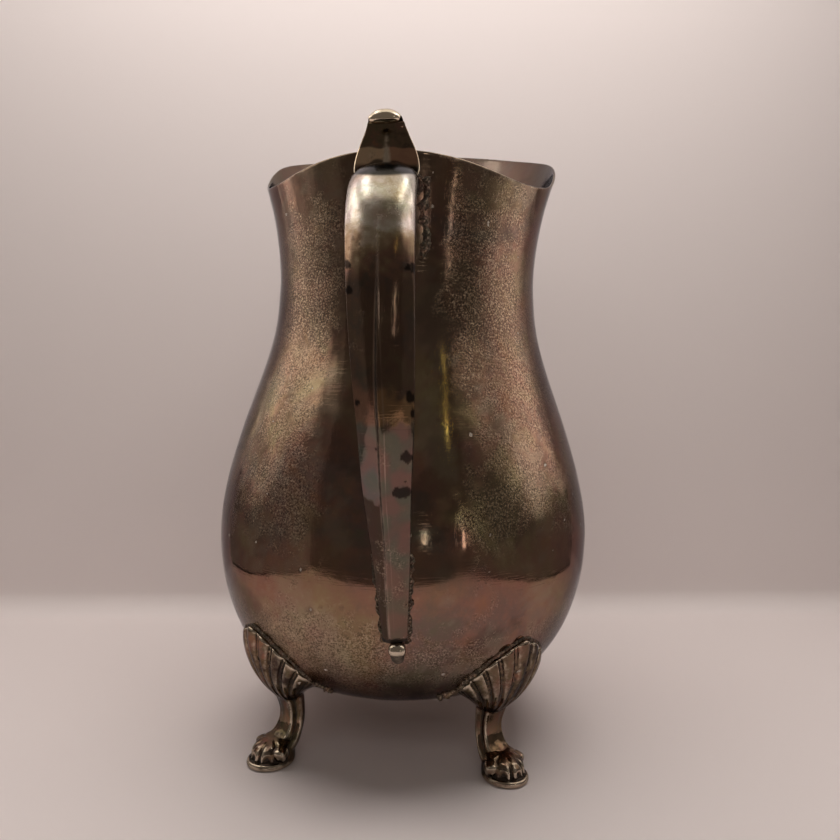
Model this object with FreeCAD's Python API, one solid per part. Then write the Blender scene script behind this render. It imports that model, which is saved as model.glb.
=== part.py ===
import FreeCAD, Part

"""A silver-plated water pitcher on four paw feet, one STEP file per piece, in millimetres.

+Z is up and the four paws stand on z = 0. The vessel's axis is the Z axis, the spout points to +Y and the
handle to -Y. The vessel is drawn sheet, the handle is two pressed halves closed by a cast leaf at the top
and a cast scroll at the tail, each leg is one casting, and everything is soft-soldered to the vessel.
"""

import math
import os

Vector = FreeCAD.Vector
OUT = "parts"

# Vessel: radii and heights of the plain round part, from the flat base up to the waist of the neck.
BASE_R, BASE_Z = 34.0, 26.0
BELLY_R, BELLY_Z = 76.0, 85.0
NECK_R, NECK_Z = 52.0, 187.0
WALL = 1.0
ROUND_OUTLINE = [
    (BASE_R, BASE_Z),
    (51.0, 30.0),
    (62.5, 39.5),
    (71.0, 55.0),
    (BELLY_R, BELLY_Z),
    (70.4, 117.0),
    (60.2, 147.0),
    (53.6, 170.0),
    (NECK_R, NECK_Z),
]

# Mouth: plan radius of the rim, and its height along Y. The lip leans out as it nears the rim.
REACH_BACK, REACH_SPOUT = 55.5, 80.0
SPOUT_SHARPNESS = 2.7
FLARE_POWER = 2.0
RIM_LINE = [
    (-56.0, 229.6),
    (-45.0, 225.4),
    (-34.0, 222.6),
    (-21.0, 222.6),
    (-8.0, 225.2),
    (6.0, 231.4),
    (22.0, 238.7),
    (38.0, 243.6),
    (57.0, 248.6),
    (REACH_SPOUT, 256.0),
]
MOUTH_LEVELS = [197.0, 208.0, 219.0, 230.0, 241.0, 252.0, 264.0]
CLEAR_ABOVE = 30.0

# Handle: the seam line between its two halves as (distance behind the axis, height), with the width across
# X, the depth of the outer half and the depth of the inner half at each station.
HANDLE = [
    (46.0, 217.5, 20.0, 5.6, 4.4),
    (60.0, 217.2, 20.8, 6.0, 4.6),
    (74.0, 214.8, 21.6, 6.4, 4.8),
    (85.0, 208.6, 21.9, 6.6, 5.0),
    (92.6, 198.5, 21.8, 6.6, 5.0),
    (96.8, 185.5, 21.3, 6.5, 5.0),
    (98.2, 171.0, 20.7, 6.4, 4.9),
    (97.2, 155.0, 19.7, 6.2, 4.7),
    (94.3, 138.0, 18.2, 5.8, 4.3),
    (89.9, 121.0, 16.4, 5.1, 3.7),
    (84.3, 106.0, 14.5, 4.3, 2.9),
    (79.4, 93.0, 12.9, 3.5, 2.1),
    (77.3, 81.0, 11.3, 2.9, 1.5),
    (76.1, 71.0, 9.8, 2.5, 1.3),
    (74.2, 61.5, 8.6, 2.2, 1.2),
]
HANDLE_WALL = 0.9
HANDLE_TURN = 2.7
HANDLE_LEAN = 2.4
LEAN_PIVOT = Vector(0, 0, 150.0)

# Thumb leaf: its front outline as (half width, height), and its side outline as (distance behind, height).
LEAF_FRONT = [(11.3, 219.0), (11.0, 222.5), (9.4, 227.5), (6.6, 233.0), (4.9, 237.0), (3.2, 240.0)]
LEAF_FOOT_Z = 215.0
LEAF_ROLL_R = 2.7
LEAF_ROLL = Vector(0, -64.6, 237.4)

# Tail scroll: a roll across the end of the handle with a stub below it.
TAIL_ROLL = Vector(0, -76.6, 58.6)
TAIL_ROLL_R = 2.7
TAIL_ROLL_WIDTH = 6.6

# Legs: four alike, at 45 degrees to the handle. Rings are (distance from the axis, height, half depth,
# half width): the knee shell that hugs the belly, then the shank that runs down into the paw.
LEG_TURNS = {"front_left": 135.0, "front_right": 45.0, "rear_left": 225.0, "rear_right": 315.0}
KNEE_RINGS = [
    (53.4, 23.5, 5.4, 6.2),
    (54.2, 27.5, 8.0, 10.5),
    (56.2, 32.0, 9.4, 16.0),
    (58.4, 36.5, 10.0, 18.6),
    (62.4, 43.0, 8.6, 15.4),
    (67.0, 50.0, 5.0, 9.0),
    (70.2, 55.5, 2.6, 3.0),
]
RIBS = 12
RIB_DEPTH = 0.05
SHANK_RINGS = [
    (53.4, 25.5, 5.0, 5.6),
    (53.2, 19.0, 4.4, 5.0),
    (54.8, 13.0, 4.6, 5.2),
    (58.6, 7.5, 6.4, 6.8),
    (61.5, 2.6, 7.2, 7.4),
]
PAD_CENTRE, PAD_DEPTH, PAD_WIDTH, PAD_HEIGHT = 64.0, 9.4, 8.4, 2.6
TOES = [(-25.0, 3.1), (-8.5, 3.5), (8.5, 3.5), (25.0, 3.1)]
TOE_REACH = 12.8
TOE_HEEL = 57.2
TOE_Z = 4.6

# Solder beads stand this far off the vessel, and this much outside the piece that they hold.
BEAD_HEIGHT = 0.9
BEAD_MARGIN = 1.3


def closed_curve(points):
    """A closed smooth wire through points."""
    curve = Part.BSplineCurve()
    curve.interpolate(points, PeriodicFlag=True)
    return Part.Wire(curve.toShape())


def smooth_curve(points):
    """An open smooth curve through points."""
    curve = Part.BSplineCurve()
    curve.interpolate(points)
    return curve


def rim_reach(angle):
    """Plan radius of the rim at an angle from the spout: a round mouth with a lobe out to the spout."""
    lobe = ((1.0 + math.cos(angle)) / 2.0) ** SPOUT_SHARPNESS
    return REACH_BACK + (REACH_SPOUT - REACH_BACK) * lobe


def rim_height(y):
    """Height of the rim at y, from straight pieces of its line; it only sets how fast the lip leans out."""
    for (y0, z0), (y1, z1) in zip(RIM_LINE, RIM_LINE[1:]):
        if y <= y1:
            return z0 + (z1 - z0) * max(0.0, y - y0) / (y1 - y0)
    return RIM_LINE[-1][1]


def mouth_radius(angle, z):
    """Plan radius of the lip at a height: the neck's, growing to the rim's, and straight on past the rim."""
    reach = rim_reach(angle)
    share = (z - NECK_Z) / (rim_height(reach * math.cos(angle)) - NECK_Z)
    if share > 1.0:
        grown = 1.0 + FLARE_POWER * (share - 1.0)
    else:
        grown = share**FLARE_POWER
    return NECK_R + (reach - NECK_R) * grown


def outline_normals(outline):
    """Outward unit normal (radial, up) at each point of the round outline."""
    normals = []
    for i in range(len(outline)):
        r0, z0 = outline[max(i - 1, 0)]
        r1, z1 = outline[min(i + 1, len(outline) - 1)]
        length = math.hypot(r1 - r0, z1 - z0)
        normals.append(((z1 - z0) / length, (r0 - r1) / length))
    return normals


def vessel_solid(offset=0.0):
    """The vessel as a filled solid up to above the rim, with its surface moved out by offset."""
    steps = 48
    angles = [2.0 * math.pi * i / steps for i in range(steps)]
    wires = []
    for (r, z), (nr, nz) in zip(ROUND_OUTLINE, outline_normals(ROUND_OUTLINE)):
        flat = z == BASE_Z
        ring_r = r + offset * (0.5 if flat else nr)
        ring_z = z - offset if flat else z + offset * nz
        ring = [Vector(ring_r * math.sin(a), ring_r * math.cos(a), ring_z) for a in angles]
        wires.append(closed_curve(ring))
    for z in MOUTH_LEVELS:
        radii = [mouth_radius(a, z) + offset for a in angles]
        ring = [Vector(r * math.sin(a), r * math.cos(a), z) for r, a in zip(radii, angles)]
        wires.append(closed_curve(ring))
    return Part.makeLoft(wires, True, False)


def above_rim():
    """The space above the rim line, which is cut away from the vessel."""
    width = 4.0 * BELLY_R
    low_y, low_z = RIM_LINE[0]
    high_y, high_z = RIM_LINE[-1]
    top = high_z + CLEAR_ABOVE
    line = smooth_curve([Vector(-width / 2, y, z) for y, z in RIM_LINE]).toShape()
    corners = [
        Vector(-width / 2, high_y, high_z),
        Vector(-width / 2, high_y + CLEAR_ABOVE, high_z + 0.35 * CLEAR_ABOVE),
        Vector(-width / 2, high_y + CLEAR_ABOVE, top),
        Vector(-width / 2, low_y - CLEAR_ABOVE, top),
        Vector(-width / 2, low_y - CLEAR_ABOVE, low_z + 0.2 * CLEAR_ABOVE),
        Vector(-width / 2, low_y, low_z),
    ]
    edges = [Part.LineSegment(a, b).toShape() for a, b in zip(corners, corners[1:])]
    return Part.Face(Part.Wire([line, *edges])).extrude(Vector(width, 0, 0))


def make_vessel():
    """The drawn sheet vessel: outer solid less inner solid, with its mouth cut to the rim line."""
    wall = vessel_solid().cut(vessel_solid(-WALL))
    return wall.cut(above_rim())


def handle_stations():
    """Station frames down the seam line: point, outward normal in the YZ plane, width and the two depths."""
    seam = smooth_curve([Vector(0, -back, z) for back, z, *_ in HANDLE])
    stations = []
    for back, z, width, outer, inner in HANDLE:
        point = Vector(0, -back, z)
        tangent = Vector(*seam.tangent(seam.parameter(point))[0])
        normal = tangent.cross(Vector(1, 0, 0)).normalize()
        stations.append((point, normal, width, outer, inner))
    return stations


def arc(a, b, c):
    """Circular edge from a through b to c."""
    return Part.Arc(a, b, c).toShape()


def line(a, b):
    """Straight edge from a to b."""
    return Part.LineSegment(a, b).toShape()


def keeled_section(point, normal, width, depth, wall):
    """Closed section of the outer half: two bowed flanks that meet in a keel, with the same inside them."""
    def at(x, n):
        return point + Vector(x, 0, 0) + normal * n

    half = width / 2
    bow_x, bow_n = 0.34 * width, 0.68 * depth
    inset = 0.75 * wall
    return Part.Wire([
        arc(at(-half, 0), at(-bow_x, bow_n), at(0, depth)),
        arc(at(0, depth), at(bow_x, bow_n), at(half, 0)),
        line(at(half, 0), at(half - wall, 0)),
        arc(at(half - wall, 0), at(bow_x - inset, bow_n - inset), at(0, depth - wall)),
        arc(at(0, depth - wall), at(inset - bow_x, bow_n - inset), at(wall - half, 0)),
        line(at(wall - half, 0), at(-half, 0)),
    ])


def backed_section(point, normal, width, depth, wall):
    """Closed section of the inner half: one shallow round back, with the same inside it."""
    def at(x, n):
        return point + Vector(x, 0, 0) + normal * n

    half = width / 2
    return Part.Wire([
        arc(at(-half, 0), at(0, -depth), at(half, 0)),
        line(at(half, 0), at(half - wall, 0)),
        arc(at(half - wall, 0), at(0, wall - depth), at(wall - half, 0)),
        line(at(wall - half, 0), at(-half, 0)),
    ])


def full_section(point, normal, width, outer, inner, margin):
    """Closed section round both halves, larger than them by margin, for cutting and for solder."""
    half = width / 2 + margin
    left, right = point - Vector(half, 0, 0), point + Vector(half, 0, 0)
    crown, back = point + normal * (outer + margin), point - normal * (inner + margin)
    return Part.Wire([arc(left, crown, right), arc(right, back, left)])


def set_handle(shape):
    """Turns and leans a handle piece the way that it is soldered on."""
    placed = shape.copy()
    placed.rotate(LEAN_PIVOT, Vector(0, 1, 0), -HANDLE_LEAN)
    placed.rotate(Vector(0, 0, 0), Vector(0, 0, 1), HANDLE_TURN)
    return placed


def make_handle(vessel):
    """The two pressed halves of the hollow handle, trimmed where the root meets the neck."""
    stations = handle_stations()
    outer_rings = [keeled_section(p, n, w, o, HANDLE_WALL) for p, n, w, o, _ in stations]
    inner_rings = [backed_section(p, n, w, i, HANDLE_WALL) for p, n, w, _, i in stations]
    outer = Part.makeLoft(outer_rings, True, False)
    inner = Part.makeLoft(inner_rings, True, False)
    return set_handle(outer).cut(vessel), set_handle(inner).cut(vessel)


def handle_envelope(margin, first, last):
    """The handle's outside as a filled solid between two stations, larger by margin."""
    stations = handle_stations()[first:last]
    return set_handle(Part.makeLoft([full_section(*s, margin) for s in stations], True, False))


def make_thumb_leaf(vessel):
    """The cast leaf over the handle's root: a side profile with a rolled tip, cut to the front outline."""
    roll = LEAF_ROLL
    crest = roll + Vector(0, 0.55 * LEAF_ROLL_R, 0.84 * LEAF_ROLL_R)
    lip = roll + Vector(0, -0.9 * LEAF_ROLL_R, -0.43 * LEAF_ROLL_R)
    front_foot = Vector(0, -69.5, LEAF_FOOT_Z)
    back_foot = Vector(0, -53.5, LEAF_FOOT_Z)
    front = smooth_curve([lip, Vector(0, -64.0, 230.5), Vector(0, -64.6, 225.0), front_foot])
    back = smooth_curve([back_foot, Vector(0, -58.6, 224.5), Vector(0, -60.6, 232.0), crest])
    side = Part.Face(Part.Wire([
        front.toShape(),
        line(front_foot, back_foot),
        back.toShape(),
        arc(crest, roll + Vector(0, -0.53 * LEAF_ROLL_R, 0.85 * LEAF_ROLL_R), lip),
    ]))
    half = LEAF_FRONT[0][0]
    slab = side.extrude(Vector(2 * half, 0, 0))
    slab.translate(Vector(-half, 0, 0))
    right = [Vector(x, -90.0, z) for x, z in LEAF_FRONT]
    left = [Vector(-p.x, p.y, p.z) for p in reversed(right)]
    foot_right, foot_left = Vector(half, -90.0, LEAF_FOOT_Z - 1.0), Vector(-half, -90.0, LEAF_FOOT_Z - 1.0)
    top = Vector(0, -90.0, LEAF_FRONT[-1][1] + 0.6)
    outline = Part.Face(Part.Wire([
        line(foot_left, foot_right),
        line(foot_right, right[0]),
        smooth_curve(right).toShape(),
        arc(right[-1], top, left[0]),
        smooth_curve(left).toShape(),
        line(left[-1], foot_left),
    ]))
    leaf = slab.common(outline.extrude(Vector(0, 60.0, 0)))
    return set_handle(leaf).cut(vessel).cut(handle_envelope(0.0, 0, 5))


def make_tail_scroll(vessel):
    """The cast scroll that closes the tail: a roll across the end, and a stub running down the belly."""
    roll = Part.makeCylinder(
        TAIL_ROLL_R, TAIL_ROLL_WIDTH, TAIL_ROLL - Vector(TAIL_ROLL_WIDTH / 2, 0, 0), Vector(1, 0, 0)
    )
    roll = roll.makeFillet(0.8, [e for e in roll.Edges if e.Curve.TypeId == "Part::GeomCircle"])
    stub = Part.makeCone(2.4, 1.5, 6.0, TAIL_ROLL + Vector(0, 1.4, -0.6), Vector(0, 0.42, -1))
    scroll = set_handle(roll.fuse(stub)).cut(vessel)
    return scroll.cut(handle_envelope(0.0, len(HANDLE) - 3, len(HANDLE)))


def ellipse_ring(reach, z, depth, width, ribs=0.0):
    """Flat elliptical wire across a leg that runs out along +X, with shallow ribs round it where asked."""
    steps = 72 if ribs else 16
    points = []
    for i in range(steps):
        a = 2.0 * math.pi * i / steps
        swell = 1.0 + ribs * math.cos(RIBS * a)
        points.append(Vector(reach + swell * depth * math.cos(a), swell * width * math.sin(a), z))
    return closed_curve(points)


def leg_blank():
    """One leg before trimming, running out along +X: knee shell, shank, pad and four toes in one casting."""
    fade = [RIB_DEPTH * min(1.0, i / 3.0) for i in range(len(KNEE_RINGS))]
    knee = Part.makeLoft([ellipse_ring(*ring, ribs) for ring, ribs in zip(KNEE_RINGS, fade)], True, False)
    shank = Part.makeLoft([ellipse_ring(*ring) for ring in SHANK_RINGS], True, False)
    pad_wire = ellipse_ring(PAD_CENTRE, 0.0, PAD_DEPTH, PAD_WIDTH)
    pad = Part.Face(pad_wire).extrude(Vector(0, 0, PAD_HEIGHT))
    leg = knee.fuse([shank, pad])
    for turn, radius in TOES:
        a = math.radians(turn)
        tip = Vector(TOE_HEEL + TOE_REACH * math.cos(a), TOE_REACH * math.sin(a), TOE_Z)
        heel = Vector(TOE_HEEL + 3.0, 2.2 * math.sin(a), TOE_Z + 3.2)
        along = heel - tip
        shaft = Part.makeCone(radius, 0.9 * radius, along.Length, tip, along)
        toe = Part.makeSphere(radius, tip).fuse(shaft)
        leg = leg.fuse(toe)
    floor = Part.makeBox(200, 200, 50, Vector(-100, -100, -50))
    return leg.cut(floor).removeSplitter()


def turned(shape, degrees):
    """A copy of shape turned about the vessel's axis."""
    copy = shape.copy()
    copy.rotate(Vector(0, 0, 0), Vector(0, 0, 1), degrees)
    return copy


def knee_envelope(margin):
    """The knee shell alone, larger by margin, for its solder bead."""
    rings = [(x, z, d + margin, w + margin) for x, z, d, w in KNEE_RINGS[1:]]
    x, z, d, w = rings[-1]
    rings[-1] = (x, z + margin, d, w)
    return Part.makeLoft([ellipse_ring(*ring) for ring in rings], True, False)


def largest(shape):
    """The biggest solid of a shape, where trimming leaves crumbs."""
    return max(shape.Solids, key=lambda solid: solid.Volume)


def save(name, shape):
    """Writes one piece, and prints its volume."""
    shape.exportStep(os.path.join(OUT, name + ".step"))
    print(name, round(shape.Volume), "mm3", len(shape.Solids), "solid", shape.isValid())


def main():
    os.makedirs(OUT, exist_ok=True)
    filled = vessel_solid()
    bead_skin = vessel_solid(BEAD_HEIGHT)
    save("vessel", make_vessel())

    outer, inner = make_handle(filled)
    leaf = make_thumb_leaf(filled)
    scroll = make_tail_scroll(filled)
    save("handle_outer_half", largest(outer))
    save("handle_inner_half", largest(inner))
    save("thumb_leaf", largest(leaf))
    save("tail_scroll", largest(scroll))

    last = len(HANDLE)
    root_bead = bead_skin.common(handle_envelope(BEAD_MARGIN, 0, 4)).cut(filled)
    root_bead = root_bead.cut(handle_envelope(0.0, 0, 4)).cut(leaf).cut(above_rim())
    tail_bead = bead_skin.common(handle_envelope(BEAD_MARGIN, last - 4, last)).cut(filled)
    tail_bead = tail_bead.cut(handle_envelope(0.0, last - 5, last)).cut(scroll)
    save("handle_root_solder", largest(root_bead))
    save("handle_tail_solder", largest(tail_bead))

    blank = leg_blank()
    for name, turn in LEG_TURNS.items():
        leg = turned(blank, turn).cut(filled)
        strip = bead_skin.common(turned(knee_envelope(BEAD_MARGIN), turn))
        bead = strip.cut(filled).cut(turned(blank, turn))
        save("leg_" + name, largest(leg))
        save("leg_solder_" + name, largest(bead))


main()
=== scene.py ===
import math

import bpy
import numpy as np
from mathutils import Matrix


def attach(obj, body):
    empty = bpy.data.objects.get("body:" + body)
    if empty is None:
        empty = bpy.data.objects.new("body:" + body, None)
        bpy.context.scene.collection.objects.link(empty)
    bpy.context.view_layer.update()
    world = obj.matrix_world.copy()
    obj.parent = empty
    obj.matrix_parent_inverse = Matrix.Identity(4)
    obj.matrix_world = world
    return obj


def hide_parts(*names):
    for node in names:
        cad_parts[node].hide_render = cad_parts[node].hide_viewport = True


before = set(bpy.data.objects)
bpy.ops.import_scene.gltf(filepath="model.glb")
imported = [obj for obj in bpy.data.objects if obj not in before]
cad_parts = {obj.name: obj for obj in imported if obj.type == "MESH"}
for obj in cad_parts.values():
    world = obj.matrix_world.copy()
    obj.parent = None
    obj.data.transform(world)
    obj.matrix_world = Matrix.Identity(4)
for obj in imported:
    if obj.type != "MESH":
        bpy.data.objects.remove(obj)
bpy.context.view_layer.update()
MM = 0.001

# ---------------------------------------------------------------- the pitcher's own measures, in millimetres

ROUND_OUTLINE = np.array([
    (0.0, 25.6), (16.0, 25.7), (34.0, 26.3), (51.0, 30.0), (62.5, 39.5), (71.0, 55.0), (76.0, 85.0),
    (70.4, 117.0), (60.2, 147.0), (53.6, 170.0), (52.0, 187.0),
])
NECK_R, NECK_Z, WALL = 52.0, 187.0, 1.0
REACH_BACK, REACH_SPOUT, SPOUT_SHARPNESS = 55.5, 80.0, 2.7
RIM_Y = np.array([-56.0, -45.0, -34.0, -21.0, -8.0, 6.0, 22.0, 38.0, 57.0, 80.0])
RIM_Z = np.array([229.6, 225.4, 222.6, 222.6, 225.2, 231.4, 238.7, 243.6, 248.6, 256.0])
# handle stations: distance behind the axis, height, width, depth of the outer half, depth of the inner half
HANDLE = np.array([
    (52.9, 217.4, 20.4, 5.8, 4.5), (60.0, 217.2, 20.8, 6.0, 4.6), (74.0, 214.8, 21.6, 6.4, 4.8),
    (85.0, 208.6, 21.9, 6.6, 5.0), (92.6, 198.5, 21.8, 6.6, 5.0), (96.8, 185.5, 21.3, 6.5, 5.0),
    (98.2, 171.0, 20.7, 6.4, 4.9), (97.2, 155.0, 19.7, 6.2, 4.7), (94.3, 138.0, 18.2, 5.8, 4.3),
    (89.9, 121.0, 16.4, 5.1, 3.7), (84.3, 106.0, 14.5, 4.3, 2.9), (79.4, 93.0, 12.9, 3.5, 2.1),
    (77.3, 81.0, 11.3, 2.9, 1.5), (76.1, 71.0, 9.8, 2.5, 1.3), (74.2, 61.5, 8.6, 2.2, 1.2),
])
HANDLE_TURN, HANDLE_LEAN, LEAN_Z = 2.7, 2.4, 150.0
LEG_TURNS = {"front_left": 135.0, "front_right": 45.0, "rear_left": 225.0, "rear_right": 315.0}


# ---------------------------------------------------------------- curves, grids and meshes

def curve_through(knots, values, at):
    """Natural cubic spline: the piecewise cubic through values at knots whose second slope is continuous and
    is zero at both ends; the second slopes solve one tridiagonal set of equations."""
    knots, values, at = np.asarray(knots, float), np.asarray(values, float), np.asarray(at, float)
    values = values.reshape(len(knots), -1)
    h = np.diff(knots)
    slopes = np.diff(values, axis=0) / h[:, None]
    a = np.eye(len(knots))
    b = np.zeros_like(values)
    inner = np.arange(1, len(knots) - 1)
    a[inner, inner - 1], a[inner, inner], a[inner, inner + 1] = h[:-1], 2 * (h[:-1] + h[1:]), h[1:]
    b[1:-1] = 6 * np.diff(slopes, axis=0)
    m = np.linalg.solve(a, b)
    i = np.clip(np.searchsorted(knots, at.ravel(), side="right") - 1, 0, len(knots) - 2)
    d = (at.ravel() - knots[i])[:, None]
    first = slopes[i] - h[i][:, None] * (2 * m[i] + m[i + 1]) / 6
    out = values[i] + d * (first + d * (m[i] / 2 + d * (m[i + 1] - m[i]) / (6 * h[i][:, None])))
    return out.reshape(at.shape + values.shape[1:]).squeeze(-1) if values.shape[1] == 1 else out


def along(points, count):
    """The natural spline through points with the chord length as its parameter, read at count places."""
    points = np.asarray(points, float)
    chords = np.concatenate([[0], np.cumsum(np.linalg.norm(np.diff(points[:, :2], axis=0), axis=1))])
    return curve_through(chords, points, chords[-1] * np.linspace(0, 1, count))


def ripple(x, y, z, size, seed):
    """Smooth unevenness between about -1 and 1: a fifth of the sum of fourteen sine waves, each with its own
    direction, phase and wavelength near size."""
    rng = np.random.default_rng(seed)
    total = np.zeros(np.broadcast(x, y, z).shape)
    for _ in range(14):
        d = rng.normal(size=3)
        d *= 2 * math.pi / (size * rng.uniform(0.6, 1.7) * np.linalg.norm(d))
        total = total + np.sin(d[0] * x + d[1] * y + d[2] * z + rng.uniform(0, 2 * math.pi))
    return total / 5.0


def ripple_at(points, size, seed):
    """The unevenness at points given as one array (..., 3)."""
    return ripple(points[..., 0], points[..., 1], points[..., 2], size, seed)


def ramp_up(value, low, high):
    """A smooth step from 0 at low to 1 at high."""
    s = np.clip((value - low) / (high - low), 0, 1)
    return s * s * (3 - 2 * s)


def round_angles(count):
    """Even angles once round, as one row."""
    return np.linspace(0, 2 * math.pi, count, endpoint=False)[None, :]


def directions(line):
    """Unit directions along a line of points."""
    step = np.gradient(line, axis=0)
    return step / np.linalg.norm(step, axis=1)[:, None]


def bell(value, width):
    """A smooth hump: e to the power of minus the square of value / width."""
    return np.exp(-((value / width) ** 2))


def grid_faces(rows, columns):
    """Quads of a grid whose columns close on themselves, as rows of four vertex numbers."""
    i, j = np.meshgrid(np.arange(rows - 1), np.arange(columns), indexing="ij")
    k = (j + 1) % columns
    quads = np.stack([i * columns + j, i * columns + k, (i + 1) * columns + k, (i + 1) * columns + j], -1)
    return quads.reshape(-1, 4)


def closed_skin(grid):
    """Vertices and faces of a grid (rows, columns, 3) that closes around its columns, with a fan to the
    middle of the first row and another to the middle of the last row."""
    rows, columns, _ = grid.shape
    ends = np.stack([grid[0].mean(0), grid[-1].mean(0)])
    points = np.concatenate([grid.reshape(-1, 3), ends])
    j = np.arange(columns)
    k = (j + 1) % columns
    low = np.stack([k, j, np.full(columns, rows * columns)], -1)
    top = (rows - 1) * columns
    high = np.stack([top + j, top + k, np.full(columns, rows * columns + 1)], -1)
    return points, [grid_faces(rows, columns), low, high]


def make_piece(name, skins, finish, node, mark=True):
    """One object from closed skins, given as (points in millimetres, lists of faces); smooth shaded, riding
    on the one body. With mark, each vertex gets "hollow", which mark_hollows explains."""
    points, faces, start = [], [], 0
    for p, groups in skins:
        points.append(p)
        faces += [row for g in groups for row in (g + start).tolist()]
        start += len(p)
    mesh = bpy.data.meshes.new(name)
    mesh.from_pydata((np.concatenate(points) * MM).tolist(), [], faces)
    mesh.validate()
    mesh.polygons.foreach_set("use_smooth", np.ones(len(mesh.polygons), bool))
    if mark:
        mark_hollows(mesh)
    piece = bpy.data.objects.new(name, mesh)
    bpy.context.collection.objects.link(piece)
    mesh.materials.append(finish)
    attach(piece, "root")
    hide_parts(node)
    return piece


def mark_hollows(mesh, passes=6, reach=0.35):
    """Writes the attribute "hollow", above a half in a crease and below it on an edge: a half, plus how far
    the mean of a vertex's neighbours lies outside it along its normal, divided by the neighbours' distance
    times reach, evened out over the neighbours a few times."""
    n = len(mesh.vertices)
    co, normal = np.empty(3 * n), np.empty(3 * n)
    mesh.vertices.foreach_get("co", co)
    mesh.vertices.foreach_get("normal", normal)
    co, normal = co.reshape(-1, 3), normal.reshape(-1, 3)
    ends = np.empty(2 * len(mesh.edges), int)
    mesh.edges.foreach_get("vertices", ends)
    a, b = ends.reshape(-1, 2).T
    count = np.bincount(np.concatenate([a, b]), minlength=n).clip(1)

    def neighbours(value):
        return (np.bincount(a, value[b], n) + np.bincount(b, value[a], n)) / count

    offset = np.stack([neighbours(co[:, k]) for k in range(3)], -1) - co
    length = np.linalg.norm(co[a] - co[b], axis=1)
    span = (np.bincount(a, length, n) + np.bincount(b, length, n)) / count
    value = (offset * normal).sum(1) / (span * reach + 1e-9)
    for _ in range(passes):
        value = 0.5 * value + 0.5 * neighbours(value)
    mesh.attributes.new("hollow", "FLOAT", "POINT").data.foreach_set("value", np.clip(0.5 + value, 0, 1))


def turned(points, degrees):
    """Points turned about the vessel's axis."""
    a = math.radians(degrees)
    turn = np.array([[math.cos(a), -math.sin(a), 0], [math.sin(a), math.cos(a), 0], [0, 0, 1]])
    return points @ turn.T


def bend(z):
    """Sideways bend of the handle's lower half."""
    return -0.8 * ramp_up(z, 142.0, 108.0)


def keel_place(z):
    """Where the keel lies across the handle at height z, as a share of half the width."""
    return -0.21 * ramp_up(z, 194.0, 140.0) - 0.17 * ramp_up(z, 112.0, 68.0)


def set_handle(points):
    """Points of the handle bent, leaned about the front-to-back line at LEAN_Z, then turned about the
    vessel's axis."""
    points = points + bend(points[..., 2:3]) * np.array([1.0, 0.0, 0.0])
    a = math.radians(-HANDLE_LEAN)
    lean = np.array([[math.cos(a), 0, math.sin(a)], [0, 1, 0], [-math.sin(a), 0, math.cos(a)]])
    pivot = np.array([0, 0, LEAN_Z])
    return turned((points - pivot) @ lean.T + pivot, HANDLE_TURN)


# ---------------------------------------------------------------- vessel

PROFILE = along(ROUND_OUTLINE, 240)


def round_radius(z):
    """Outer radius of the round part of the vessel at height z."""
    rising = PROFILE[np.searchsorted(PROFILE[:, 1], 26.0):]
    return np.interp(z, rising[:, 1], rising[:, 0])


def outer_radius(z, angle):
    """Outer radius at height z and an angle from the spout, on the round part and on the lip."""
    reach, top = rim(angle)
    share = np.clip((z - NECK_Z) / (top - NECK_Z), 0, 1)
    return np.where(z <= NECK_Z, round_radius(z), NECK_R + (reach - NECK_R) * share**2)


def rim(angle):
    """Plan radius and height of the rim at an angle from the spout: a round mouth with a lobe, a power of
    (1 + cos) / 2, drawn out to the spout, and a height that is a spline of how far forward the rim is."""
    reach = REACH_BACK + (REACH_SPOUT - REACH_BACK) * ((1 + np.cos(angle)) / 2) ** SPOUT_SHARPNESS
    return reach, curve_through(RIM_Y, RIM_Z, reach * np.cos(angle))


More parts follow.
